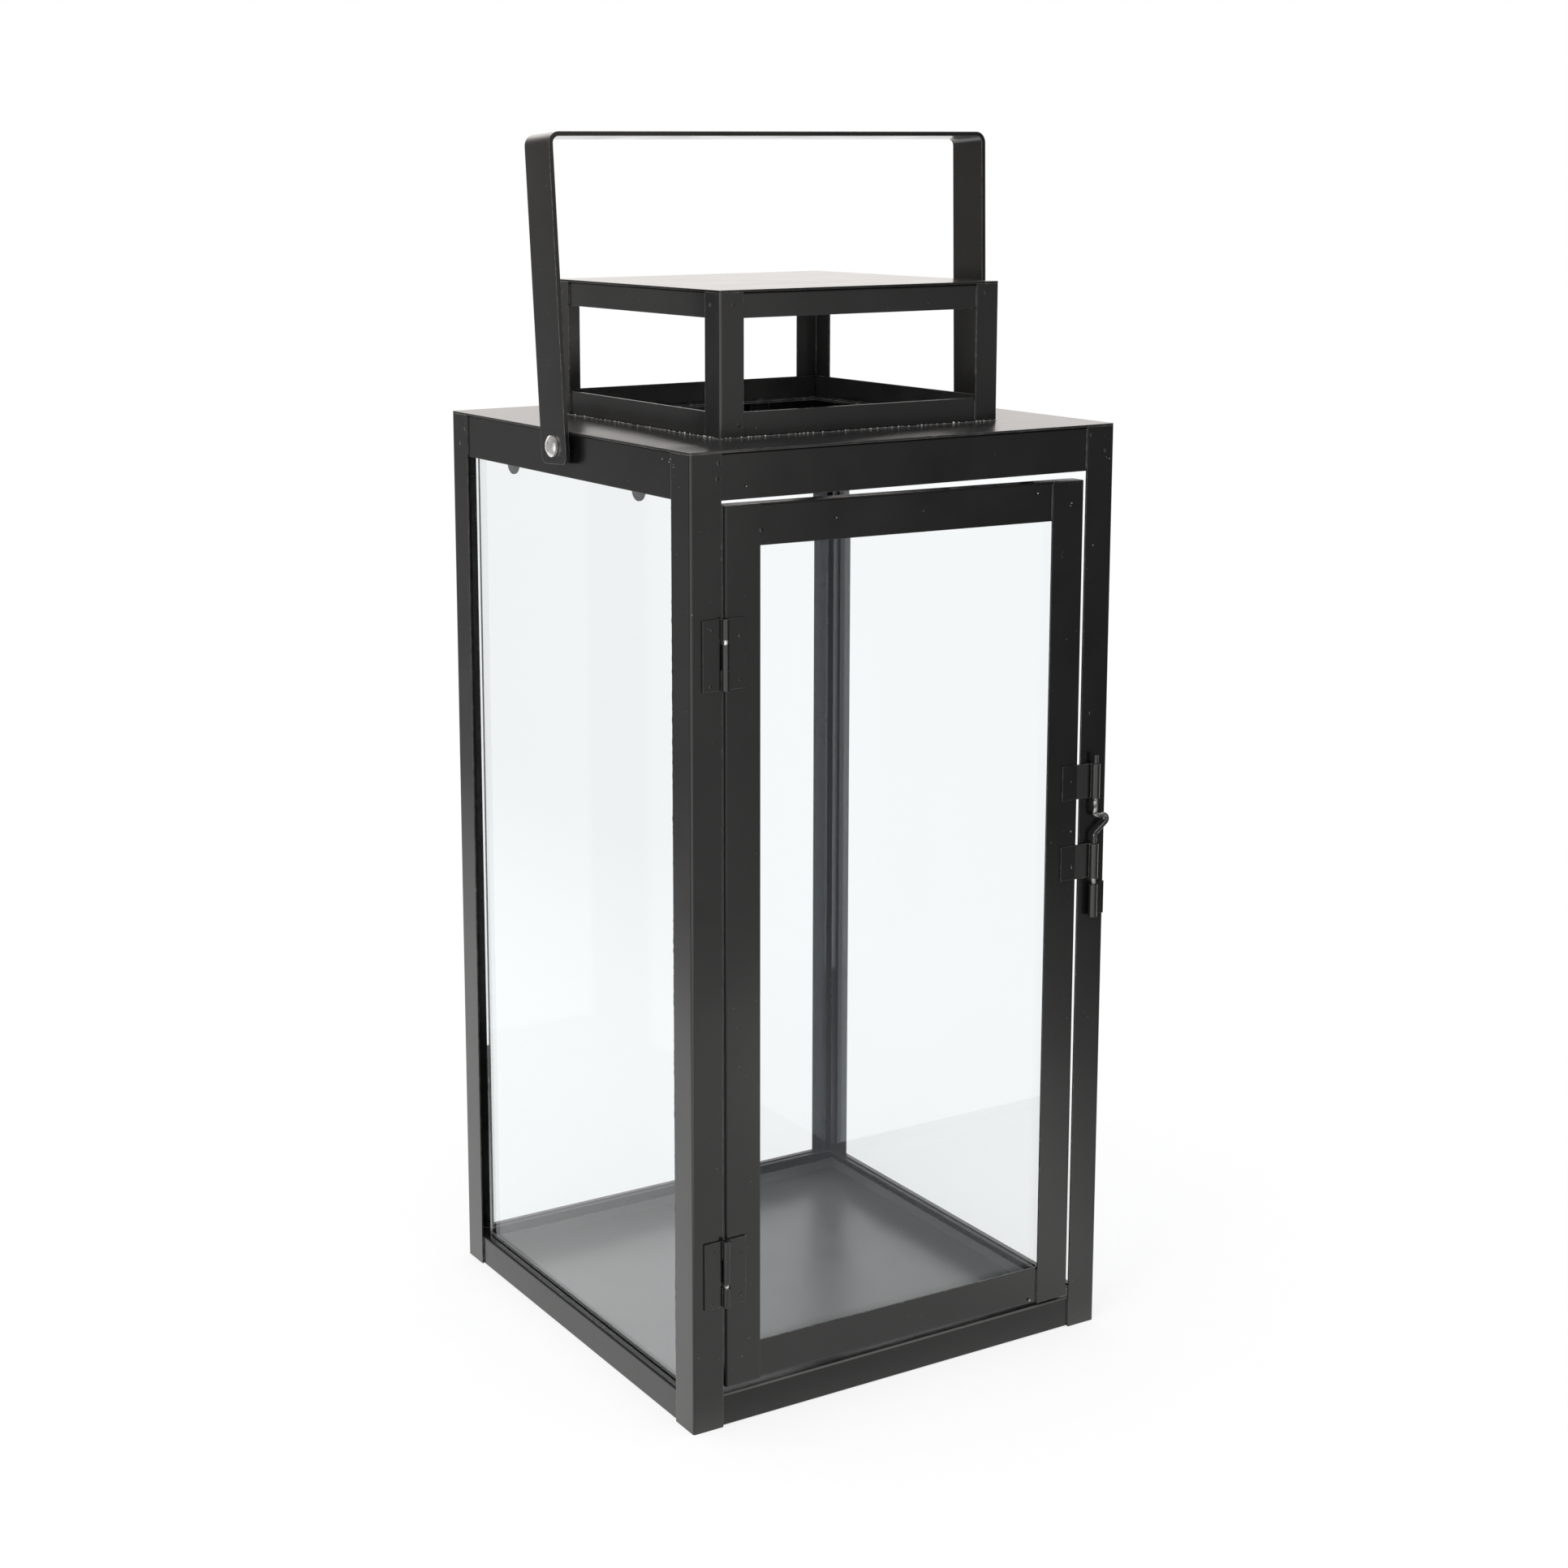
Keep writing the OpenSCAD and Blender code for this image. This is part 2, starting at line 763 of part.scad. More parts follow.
handle_screws();
handle_spacers();
handle_nuts();
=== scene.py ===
import json
import math

import bmesh
import bpy
from mathutils import Matrix, Vector, noise as field


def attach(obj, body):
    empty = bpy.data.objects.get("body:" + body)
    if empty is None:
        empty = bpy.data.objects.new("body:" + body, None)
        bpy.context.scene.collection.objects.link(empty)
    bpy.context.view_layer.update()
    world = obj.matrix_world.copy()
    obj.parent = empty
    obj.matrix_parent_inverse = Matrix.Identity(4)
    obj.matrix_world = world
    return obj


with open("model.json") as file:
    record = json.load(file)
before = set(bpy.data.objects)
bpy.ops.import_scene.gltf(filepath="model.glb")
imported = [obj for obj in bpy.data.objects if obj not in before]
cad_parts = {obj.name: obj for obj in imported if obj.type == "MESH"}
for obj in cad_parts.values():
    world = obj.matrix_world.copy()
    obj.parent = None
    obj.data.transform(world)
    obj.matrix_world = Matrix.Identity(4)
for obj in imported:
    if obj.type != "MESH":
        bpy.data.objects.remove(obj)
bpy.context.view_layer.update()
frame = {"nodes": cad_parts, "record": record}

# ---- Camera: the photograph's viewpoint. Degrees, metres and millimetres of lens ----

VIEW_FROM = Vector((-0.63480, -0.98961, 0.53835))
VIEW_AZIMUTH = -30.021
VIEW_ELEVATION = 9.904
VIEW_ROLL = -0.390
VIEW_LENS = 58.705
VIEW_SHIFT = 0.08227, -0.10854


def make_camera():
    """Looks from the left of the door, a little down, with the whole lantern in the frame."""
    azimuth = math.radians(VIEW_AZIMUTH)
    elevation = math.radians(VIEW_ELEVATION)
    roll = math.radians(VIEW_ROLL)
    back = Vector((
        math.sin(azimuth) * math.cos(elevation),
        -math.cos(azimuth) * math.cos(elevation),
        math.sin(elevation),
    ))
    level = (-back).cross(Vector((0, 0, 1))).normalized()
    upright = level.cross(-back)
    right = math.cos(roll) * level + math.sin(roll) * upright
    up = -math.sin(roll) * level + math.cos(roll) * upright
    camera = bpy.data.objects.new("camera", bpy.data.cameras.new("camera"))
    camera.data.lens = VIEW_LENS
    camera.data.shift_x, camera.data.shift_y = VIEW_SHIFT
    camera.data.clip_start = 0.01
    turned = Matrix((right, up, back)).transposed().to_4x4()
    camera.matrix_world = Matrix.Translation(VIEW_FROM) @ turned
    bpy.context.scene.collection.objects.link(camera)
    bpy.context.scene.camera = camera


make_camera()

# ---- Node helpers ----


def new_material(name):
    """An empty material: its node tree and its output node."""
    material = bpy.data.materials.new(name)
    material.use_nodes = True
    material.node_tree.nodes.clear()
    output = material.node_tree.nodes.new("ShaderNodeOutputMaterial")
    return material, material.node_tree, output


def add(tree, kind, **values):
    """A node with its properties and its inputs set: inputs are named with _ for a space."""
    node = tree.nodes.new("ShaderNode" + kind)
    for key, value in values.items():
        if hasattr(node, key):
            setattr(node, key, value)
        else:
            node.inputs[key.replace("_", " ")].default_value = value
    return node


def noise(tree, place, scale, detail=2.0, roughness=0.5):
    """Noise on Object coordinates; scale is in features a metre."""
    node = add(tree, "TexNoise", Scale=scale, Detail=detail, Roughness=roughness)
    tree.links.new(place, node.inputs["Vector"])
    return node.outputs["Fac"]


RANGE_INPUTS = "From Min", "From Max", "To Min", "To Max"


def remap(tree, value, low, high, to_low, to_high, smooth=False):
    """Maps low..high of the value to to_low..to_high, and stops there."""
    kind = "SMOOTHSTEP" if smooth else "LINEAR"
    node = add(tree, "MapRange", interpolation_type=kind)
    for label, number in zip(RANGE_INPUTS, (low, high, to_low, to_high)):
        node.inputs[label].default_value = number
    tree.links.new(value, node.inputs["Value"])
    return node.outputs["Result"]


def mix_colours(tree, factor, first, second):
    """Mixes two colours, each a value or a socket."""
    node = add(tree, "Mix", data_type="RGBA")
    tree.links.new(factor, node.inputs["Factor"])
    for socket, colour in ((node.inputs[6], first), (node.inputs[7], second)):
        if isinstance(colour, tuple):
            socket.default_value = (*colour, 1.0)
        else:
            tree.links.new(colour, socket)
    return node.outputs[2]


def combine(tree, operation, first, second):
    """One Math node on two values or sockets."""
    node = add(tree, "Math", operation=operation)
    for socket, value in zip(node.inputs, (first, second)):
        if isinstance(value, (int, float)):
            socket.default_value = value
        else:
            tree.links.new(value, socket)
    return node.outputs["Value"]


def mix_shaders(tree, factor, first, second):
    """The first shader where the factor is 0, the second where it is 1."""
    node = add(tree, "MixShader")
    tree.links.new(factor, node.inputs["Fac"])
    tree.links.new(first, node.inputs[1])
    tree.links.new(second, node.inputs[2])
    return node.outputs["Shader"]


def dot(tree, first, second):
    """The dot product of a vector socket and a second one, or fixed numbers."""
    node = add(tree, "VectorMath", operation="DOT_PRODUCT")
    tree.links.new(first, node.inputs[0])
    if isinstance(second, tuple):
        node.inputs[1].default_value = second
    else:
        tree.links.new(second, node.inputs[1])
    return node.outputs["Value"]


def bump(tree, height, distance, below=None):
    """The normal of a height, on top of the normal below."""
    node = add(tree, "Bump", Distance=distance)
    tree.links.new(height, node.inputs["Height"])
    if below is not None:
        tree.links.new(below, node.inputs["Normal"])
    return node.outputs["Normal"]


# ---- Materials ----

X_AXIS = 1.0, 0.0, 0.0
Y_AXIS = 0.0, 1.0, 0.0
Z_AXIS = 0.0, 0.0, 1.0
PAINT_DARK = 0.0048, 0.0048, 0.0050
PAINT_LIGHT = 0.0082, 0.0081, 0.0082
PAINT_CHIP = 0.34, 0.33, 0.31
PAINT_DUST = 0.13, 0.13, 0.125
PAINT_GLOSS_TINT = 1.0, 0.975, 0.955, 1.0
# Share of the gloss that stays where it is turned down as painted shade
SHADED_GLOSS_SHARE = 0.30
# Sizes of the noises, in features a metre
CLOUDS = 22.0
DUST_PATCHES = 30.0
DUST_GRAINS = 640.0
RUBBING = 260.0
SMEARS = 45.0
WAVES = 9.0
PEEL_GRAINS = 700.0
# Metres
EDGE_RADIUS = 0.00038
WAVE_DEPTH = 0.0015
CHIP_DEPTH = 0.00006
FOLD_HEIGHT = 0.0004
ZONE_EDGE = 0.0008
# Half widths between the inner and the outer faces of rails, of posts and beside the door
INSIDE_RAILS = 0.1088
INSIDE_POSTS = 0.1096
BESIDE_DOOR = 0.0929
RAIL_FACE = 0.1080, 0.1088
# Cosines between the flat and the rounded normal: where an edge begins, and where it is full
EDGE_SPAN = 0.985, 0.90
# Values of the noise from which a grain or a patch of dust shows, and from which it is full
GRAIN_SPAN = 0.752, 0.785
PATCH_SPAN = 0.50, 0.62


def lift(colour, amount):
    """A paler colour."""
    return tuple(channel + amount for channel in colour)


def middle(tree, value, to_low, to_high):
    """Spreads the usual range of a noise between two values."""
    return remap(tree, value, 0.3, 0.7, to_low, to_high)


def coat_colour(tree, place, paler, specks):
    """Black with faint clouds and patches of dust."""
    clouds = middle(tree, noise(tree, place, CLOUDS, detail=4.0), 0.0, 1.0)
    tone = mix_colours(tree, clouds, lift(PAINT_DARK, paler), lift(PAINT_LIGHT, paler * 1.15))
    grains = noise(tree, place, DUST_GRAINS, detail=1.5)
    dust = remap(tree, grains, GRAIN_SPAN[0] - specks, GRAIN_SPAN[1] - specks, 0.0, 1.0)
    patches = noise(tree, place, DUST_PATCHES, detail=2.0)
    patches = remap(tree, patches, PATCH_SPAN[0] - specks, PATCH_SPAN[1], 0.0, 1.0)
    return mix_colours(tree, combine(tree, "MULTIPLY", dust, patches), tone, PAINT_DUST)


def shade_gloss_by_place(tree, shader, across, along, shine, inner, outer):
    """Painted shade: less gloss nearer than inner to the middle, further to the sides than outer.
    """
    shaded_shine = shine * SHADED_GLOSS_SHARE
    if inner:
        far = combine(tree, "MAXIMUM", across, along)
        level = remap(tree, far, inner - 0.0001, inner + 0.0001, shaded_shine, shine)
        tree.links.new(level, shader.inputs["Specular IOR Level"])
    if outer:
        level = remap(tree, across, outer - 0.0002, outer + 0.0002, shine, shaded_shine)
        tree.links.new(level, shader.inputs["Specular IOR Level"])


def fold_highlight_line(tree, place, along, fold):
    """1 on the upper fold of a rail's outer leg, above fold: a painted highlight line."""
    above = remap(tree, dot(tree, place, Z_AXIS), fold - FOLD_HEIGHT, fold, 0.0, 1.0)
    return combine(tree, "MULTIPLY", above, remap(tree, along, *RAIL_FACE, 0.0, 1.0))


def rubbed_and_highlit_edges(tree, place, rounded, wear):
    """Painted highlight on folds and edges, where the paint is also rubbed, and where it is gone.
    """
    facing = dot(tree, rounded, add(tree, "NewGeometry").outputs["Normal"])
    edge = remap(tree, facing, *EDGE_SPAN, 0.0, 1.0)
    rubbed = noise(tree, place, RUBBING, detail=4.0, roughness=0.7)
    rubbed_and_highlit = combine(tree, "MULTIPLY", edge, remap(tree, rubbed, 0.40, 0.55, 0.25, 1.0))
    chip = remap(tree, rubbed, 0.70 - 0.25 * wear, 0.74 - 0.25 * wear, 0.0, 1.0)
    return rubbed_and_highlit, combine(tree, "MULTIPLY", edge, chip)


def uneven_gloss(tree, place, gloss, smeared, worn):
    """The roughness of the coat: smeared, and dull where it is gone."""
    smear = noise(tree, place, SMEARS, detail=4.0)
    dull = middle(tree, smear, gloss - 0.03 * smeared, gloss + 0.05 * smeared)
    return combine(tree, "MAXIMUM", dull, combine(tree, "MULTIPLY", worn, 0.5))


def coat_form(tree, place, rounded, worn, peel, height):
    """The normal of the coat: waves, a swell of the sheet, the paint's grain and chips."""
    form = bump(tree, noise(tree, place, WAVES, detail=1.0), WAVE_DEPTH, rounded)
    if height is not None:
        form = bump(tree, height(tree, place), 1.0, form)
    form = bump(tree, noise(tree, place, PEEL_GRAINS, detail=2.0), peel, form)
    return bump(tree, worn, -CHIP_DEPTH, form)


def satin_paint(
    name, gloss=0.19, shine=0.68, paler=0.0, wear=0.35, specks=0.0, rubbed_edge_highlight_tone=0.130,
    smeared=1.0, peel=0.000006, height=None, inner=0.0, outer=0.0, fold=0.0,
):
    """Black stoved paint on sheet, with folds and edges rubbed and lightened as a painted
    highlight, dust and slightly wavy gloss.

    gloss is the roughness and shine the specular level. paler lightens the colour, wear is how
    much of the edges has lost its paint, specks adds dust, rubbed_edge_highlight_tone is the grey
    of the folds and edges, a painted highlight over real rubbing, smeared how uneven the gloss is
    and peel the depth of the grain. height may add a swell. As painted shade, gloss is turned down
    nearer than inner to the lantern's middle and further to the sides than outer; the painted
    highlight of the edges is also laid above fold."""
    material, tree, output = new_material(name)
    place = add(tree, "TexCoord").outputs["Object"]
    across = combine(tree, "ABSOLUTE", dot(tree, place, X_AXIS), 0.0)
    along = combine(tree, "ABSOLUTE", dot(tree, place, Y_AXIS), 0.0)
    shader = add(tree, "BsdfPrincipled", Specular_IOR_Level=shine)
    shader.inputs["Specular Tint"].default_value = PAINT_GLOSS_TINT
    # Painted shade: gloss is turned down inside the lantern and in the shaded gap beside the door
    shade_gloss_by_place(tree, shader, across, along, shine, inner, outer)

    rounded = add(tree, "Bevel", samples=4, Radius=EDGE_RADIUS).outputs["Normal"]
    # Painted highlight: folds and edges are lightened to the edge tone, over real rubbing and chips
    rubbed_and_highlit, worn = rubbed_and_highlit_edges(tree, place, rounded, wear)
    if fold:
        rubbed_and_highlit = combine(tree, "MAXIMUM", rubbed_and_highlit, fold_highlight_line(tree, place, along, fold))
    rubbed_edge_highlight_colour = rubbed_edge_highlight_tone, rubbed_edge_highlight_tone * 0.985, rubbed_edge_highlight_tone * 0.955
    colour = mix_colours(tree, rubbed_and_highlit, coat_colour(tree, place, paler, specks), rubbed_edge_highlight_colour)
    colour = mix_colours(tree, worn, colour, PAINT_CHIP)
    tree.links.new(colour, shader.inputs["Base Color"])
    roughness = uneven_gloss(tree, place, gloss, smeared, worn)
    tree.links.new(roughness, shader.inputs["Roughness"])
    form = coat_form(tree, place, rounded, worn, peel, height)
    tree.links.new(form, shader.inputs["Normal"])
    tree.links.new(shader.outputs["BSDF"], output.inputs["Surface"])
    return material


def roof_swell(tree, place):
    """Metres by which the roof sheet falls towards its left, right and front edges."""
    x = dot(tree, place, X_AXIS)
    y = dot(tree, place, Y_AXIS)
    left = remap(tree, x, -0.112, -0.080, -0.0017, 0.0, smooth=True)
    right = remap(tree, x, 0.078, 0.112, 0.0, -0.0008, smooth=True)
    near = remap(tree, y, -0.112, -0.080, -0.0010, 0.0, smooth=True)
    return combine(tree, "ADD", combine(tree, "ADD", left, right), near)


GLASS_TINT = 0.966, 0.977, 0.983, 1.0
GLASS_GLOSS_TINT = 0.40, 0.42, 0.46, 1.0
GLASS_SHADE = 0.93, 0.96, 0.96, 1.0
GLASS_GREEN = 0.66, 0.84, 0.76, 1.0


def float_glass(name):
    """Clear float glass, green along its long way through, with a faint film of smears.

    Lamps shine straight through it, so that the floor inside is lit and shaded softly."""
    material, tree, output = new_material(name)
    place = add(tree, "TexCoord").outputs["Object"]
    clear_glass = add(tree, "BsdfPrincipled", Transmission_Weight=1.0, IOR=1.5)
    clear_glass.inputs["Base Color"].default_value = GLASS_TINT
    clear_glass.inputs["Specular Tint"].default_value = GLASS_GLOSS_TINT
    smears = noise(tree, place, 35.0, detail=5.0, roughness=0.6)
    tree.links.new(remap(tree, smears, 0.55, 0.8, 0.0, 0.03), clear_glass.inputs["Roughness"])
    clear = add(tree, "BsdfTransparent")
    clear.inputs["Color"].default_value = GLASS_SHADE
    is_shadow = add(tree, "LightPath").outputs["Is Shadow Ray"]
    both = mix_shaders(tree, is_shadow, clear_glass.outputs["BSDF"], clear.outputs["BSDF"])
    tree.links.new(both, output.inputs["Surface"])
    green = add(tree, "VolumeAbsorption", Density=9.0)
    green.inputs["Color"].default_value = GLASS_GREEN
    tree.links.new(green.outputs["Volume"], output.inputs["Volume"])
    return material


def metal(tree, place, dark, light):
    """A shader of zinc plating with a dull bloom, between two colours."""
    shader = add(tree, "BsdfPrincipled", Metallic=0.70)
    bloom = noise(tree, place, 420.0, detail=3.0)
    patchy = remap(tree, bloom, 0.35, 0.65, 0.0, 1.0)
    colour = mix_colours(tree, patchy, dark, light)
    tree.links.new(colour, shader.inputs["Base Color"])
    tree.links.new(remap(tree, bloom, 0.3, 0.7, 0.16, 0.32), shader.inputs["Roughness"])
    tree.links.new(bump(tree, bloom, 0.00002), shader.inputs["Normal"])
    return shader.outputs["BSDF"]


def zinc_plate(name):
    """Bright zinc plating."""
    material, tree, output = new_material(name)
    place = add(tree, "TexCoord").outputs["Object"]
    bright = metal(tree, place, (0.66, 0.65, 0.63), (0.93, 0.92, 0.90))
    tree.links.new(bright, output.inputs["Surface"])
    return material


def painted_zinc(name, bare_zones, bare_level, dark, light):
    """Zinc under black paint, which is gone in some zones of height and in small chips.

    bare_zones are pairs of heights in metres; bare_level is the share of chips elsewhere.
    dark and light are the colours of the bare metal."""
    material, tree, output = new_material(name)
    place = add(tree, "TexCoord").outputs["Object"]
    coat = add(tree, "BsdfPrincipled", Specular_IOR_Level=0.68, Roughness=0.22)
    coat.inputs["Base Color"].default_value = (*PAINT_LIGHT, 1.0)
    up = dot(tree, place, Z_AXIS)
    ragged = noise(tree, place, 500.0, detail=3.0, roughness=0.6)
    bare = remap(tree, ragged, 0.66 - bare_level, 0.69 - bare_level, 0.0, 1.0)
    for low, high in bare_zones:
        above = remap(tree, up, low - ZONE_EDGE, low + ZONE_EDGE, 0.0, 1.0)
        below = remap(tree, up, high - ZONE_EDGE, high + ZONE_EDGE, 1.0, 0.0)
        zone = combine(tree, "MULTIPLY", above, below)
        most = remap(tree, ragged, 0.38, 0.46, 0.0, 1.0)
        bare = combine(tree, "MAXIMUM", bare, combine(tree, "MULTIPLY", zone, most))
    worn = mix_shaders(tree, bare, coat.outputs["BSDF"], metal(tree, place, dark, light))
    tree.links.new(worn, output.inputs["Surface"])
    return material


def pale_grit(name, dark, light):
    """Pale primer or filler that shows in chips and in specks of the seam."""
    material, tree, output = new_material(name)
    place = add(tree, "TexCoord").outputs["Object"]
    shader = add(tree, "BsdfPrincipled", Roughness=0.5)
    grain = remap(tree, noise(tree, place, 1500.0, detail=2.0), 0.35, 0.65, 0.0, 1.0)
    colour = mix_colours(tree, grain, dark, light)
    tree.links.new(colour, shader.inputs["Base Color"])
    tree.links.new(shader.outputs["BSDF"], output.inputs["Surface"])
    return material


# inner and outer turn the gloss down as painted shade; the edge tones are painted highlights
paint = satin_paint("black_satin_paint", inner=INSIDE_RAILS)
post_paint = satin_paint(
    "black_paint_posts", rubbed_edge_highlight_tone=0.165, peel=0.000003, inner=INSIDE_POSTS
)
door_paint = satin_paint("black_paint_door", rubbed_edge_highlight_tone=0.080, outer=BESIDE_DOOR)
leaf_paint = satin_paint("black_paint_leaves", rubbed_edge_highlight_tone=0.090)
# Painted shade: the bottom rails' lower shine stands in for the floor's shadow near the lantern
shaded_low_paint = satin_paint("black_paint_low_rails_painted_shade", gloss=0.24, shine=0.43, wear=0.15, rubbed_edge_highlight_tone=0.190)
shaded_near_paint = satin_paint("black_paint_near_rail_painted_shade", gloss=0.24, shine=0.43, wear=0.15, fold=0.0140)
shaded_far_paint = satin_paint(
    "black_paint_far_rails_painted_shade", gloss=0.24, shine=0.60, wear=0.15, inner=INSIDE_RAILS
)
roof_paint = satin_paint(
    "black_paint_roof", gloss=0.24, paler=0.012, smeared=0.2, peel=0.000002, height=roof_swell
)
lid_paint = satin_paint("black_paint_lid", gloss=0.15, shine=0.64, smeared=0.3, peel=0.000003)
cupola_paint = satin_paint("black_paint_cupola", paler=0.009, wear=0.45)
# Painted reflection: the tray's paler colour and high shine stand in for the light it reflects
tray_paint_painted_reflection = satin_paint(
    "black_paint_tray_painted_reflection", gloss=0.32, shine=1.3, paler=0.115, wear=0.2, specks=-0.2, peel=0.000004
)
strap_paint = satin_paint("black_paint_strap", gloss=0.22, wear=0.40, rubbed_edge_highlight_tone=0.260)
seam_paint = satin_paint("black_paint_seam", gloss=0.30, paler=0.045, specks=0.06)
joint_paint = satin_paint("black_paint_joints", gloss=0.25, paler=0.030, wear=0.2)
zinc = zinc_plate("zinc_plate")
BOLT_BARE = (0.2465, 0.2580), (0.2150, 0.2217)
bolt_finish = painted_zinc("painted_bolt", BOLT_BARE, 0.03, (0.12, 0.12, 0.12), (0.50, 0.49, 0.47))
PIN_BARE = (0.3449, 0.3470), (0.0640, 0.0663)
pin_finish = painted_zinc("painted_pins", PIN_BARE, 0.10, (0.55, 0.54, 0.52), (0.92, 0.91, 0.88))
primer = pale_grit("chipped_primer", (0.20, 0.19, 0.18), (0.50, 0.49, 0.46))
seam_grit = pale_grit("seam_grit", (0.45, 0.44, 0.42), (0.86, 0.85, 0.82))

FINISHES = {"black_metal": paint, "glass": float_glass("float_glass"), "zinc": zinc}
NODE_FINISHES = {
    "roof_plate": roof_paint,
    "cupola_lid": lid_paint,
    "base_tray": tray_paint_painted_reflection,
    "handle_strap": strap_paint,
    "slide_bolt": bolt_finish,
    "hinge_pin_upper": pin_finish,
    "hinge_pin_lower": pin_finish,
    "bottom_rail_front": shaded_near_paint,
    "bottom_rail_right": shaded_far_paint,
    "bottom_rail_back": shaded_far_paint,
}


def finish_of(node, slot):
    """The finish of a node: its own, its family's, or its slot's."""
    if node in NODE_FINISHES:
        return NODE_FINISHES[node]
    if node.startswith("cupola_"):
        return cupola_paint
    if node.startswith("bottom_rail_"):
        return shaded_low_paint
    if node.startswith("post_"):
        return post_paint
    if node.startswith(("door_stile", "door_rail")):
        return door_paint
    if node.startswith("hinge_leaf"):
        return leaf_paint
    return FINISHES[slot]


def dress(obj, material):
    """Gives the object this one material."""
    obj.data.materials.clear()
    obj.data.materials.append(material)


for entry in frame["record"]["subparts"]:
    node = entry["node"]
    dress(frame["nodes"][node], finish_of(node, entry["material_slot"]))


# ---- Small real details: weld pips, chips, the seam's bead and ragged edges. Millimetres ----

MM = 0.001
SIDES = "front", "left", "right", "back"
# Turns a piece made for the front round to each side
FACES = {
    "front": Matrix.Identity(4),
    "left": Matrix.Rotation(-math.pi / 2, 4, "Z"),
    "right": Matrix.Rotation(math.pi / 2, 4, "Z"),
    "back": Matrix.Rotation(math.pi, 4, "Z"),
}
# Faces, as distances from the lantern's middle
BODY_HALF = 110.0
CUPOLA_HALF = 73.0
LEAF_FACE = 110.8
GUIDE_FACE = 110.7
ROOF_TOP = 425.0


def blob(bm, side, along, out, z, size, flat):
    """A low round blob on a side: along it from its middle, out from the lantern's middle.

    size is its radius and flat its height."""
    place = Matrix.Translation(Vector((along, -out, z)) * MM)
    shape = Matrix.Diagonal((size * MM, flat * MM, size * MM, 1.0))
    bmesh.ops.create_uvsphere(
        bm, u_segments=8, v_segments=5, radius=1.0, matrix=FACES[side] @ place @ shape
    )


def finish_piece(name, bm, material, body):
    """Makes a piece of the mesh; it rides on the body."""
    bmesh.ops.recalc_face_normals(bm, faces=bm.faces)
    mesh = bpy.data.meshes.new(name)
    bm.to_mesh(mesh)
    bm.free()
    mesh.polygons.foreach_set("use_smooth", [True] * len(mesh.polygons))
    obj = bpy.data.objects.new(name, mesh)
    bpy.context.scene.collection.objects.link(obj)
    dress(obj, material)
    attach(obj, body)


def blobs(name, rows, material, body):
    """One piece of many blobs."""
    bm = bmesh.new()
    for row in rows:
        blob(bm, *row)
    finish_piece(name, bm, material, body)


# side, along, out, z, radius, height. The side's along runs to the viewer's right
POST_PIPS = [
    ("front", -100.4, LEAF_FACE, 351.7, 0.75, 0.28),
    ("front", -101.1, LEAF_FACE, 328.1, 0.75, 0.28),
    ("front", -100.4, LEAF_FACE, 81.7, 0.75, 0.28),
    ("front", -101.1, LEAF_FACE, 58.1, 0.75, 0.28),
    ("front", -96.4, BODY_HALF, 420.0, 1.0, 0.22),
    ("front", -97.0, BODY_HALF, 413.6, 1.0, 0.22),
    ("front", 105.0, BODY_HALF, 413.1, 0.8, 0.20),
    ("front", 97.2, BODY_HALF, 420.4, 1.0, 0.22),
    ("left", -102.0, BODY_HALF, 410.2, 1.0, 0.22),
    ("left", -96.4, BODY_HALF, 417.6, 1.0, 0.22),
    ("left", 97.5, BODY_HALF, 418.6, 0.9, 0.20),
    ("right", -97.0, BODY_HALF, 419.0, 1.0, 0.22),
    ("right", 98.0, BODY_HALF, 412.4, 1.0, 0.22),
    ("back", -97.5, BODY_HALF, 418.8, 1.0, 0.22),
    ("back", 96.8, BODY_HALF, 413.5, 1.0, 0.22),
]
CUPOLA_PIPS = [
    ("front", -63.7, CUPOLA_HALF, 430.6, 0.9, 0.22),
    ("front", -61.3, CUPOLA_HALF, 429.1, 0.6, 0.20),
    ("front", -66.4, CUPOLA_HALF, 481.2, 0.9, 0.22),
    ("front", 65.5, CUPOLA_HALF, 482.3, 0.9, 0.22),
    ("left", 65.5, CUPOLA_HALF, 481.1, 0.9, 0.22),
    ("left", -66.0, CUPOLA_HALF, 481.6, 0.9, 0.22),
    ("right", -65.8, CUPOLA_HALF, 481.0, 0.9, 0.22),
    ("right", 66.2, CUPOLA_HALF, 481.8, 0.9, 0.22),
    ("back", -65.6, CUPOLA_HALF, 481.3, 0.9, 0.22),
    ("back", 65.9, CUPOLA_HALF, 481.5, 0.9, 0.22),
]
DOOR_PIPS = [
    ("front", -86.8, LEAF_FACE, 348.3, 0.75, 0.28),
    ("front", -86.8, LEAF_FACE, 329.9, 0.75, 0.28),
    ("front", -86.8, LEAF_FACE, 78.3, 0.75, 0.28),
    ("front", -86.8, LEAF_FACE, 59.9, 0.75, 0.28),
    ("front", 89.6, GUIDE_FACE, 263.9, 0.60, 0.25),
    ("front", 90.9, GUIDE_FACE, 224.2, 0.80, 0.28),
    ("front", -75.8, BODY_HALF, 391.2, 1.1, 0.22),
]
BODY_CHIPS = [
    ("front", 107.6, BODY_HALF, 409.3, 0.30, 0.10),
    ("front", -83.0, BODY_HALF, 409.8, 0.28, 0.10),
    ("front", 99.4, BODY_HALF, 371.0, 0.28, 0.10),
    ("left", 94.8, BODY_HALF, 421.1, 0.34, 0.12),
    ("left", 93.6, BODY_HALF, 419.9, 0.30, 0.12),
    ("left", 88.2, BODY_HALF, 420.6, 0.30, 0.10),
    ("left", -101.6, BODY_HALF, 409.8, 0.30, 0.26),
]
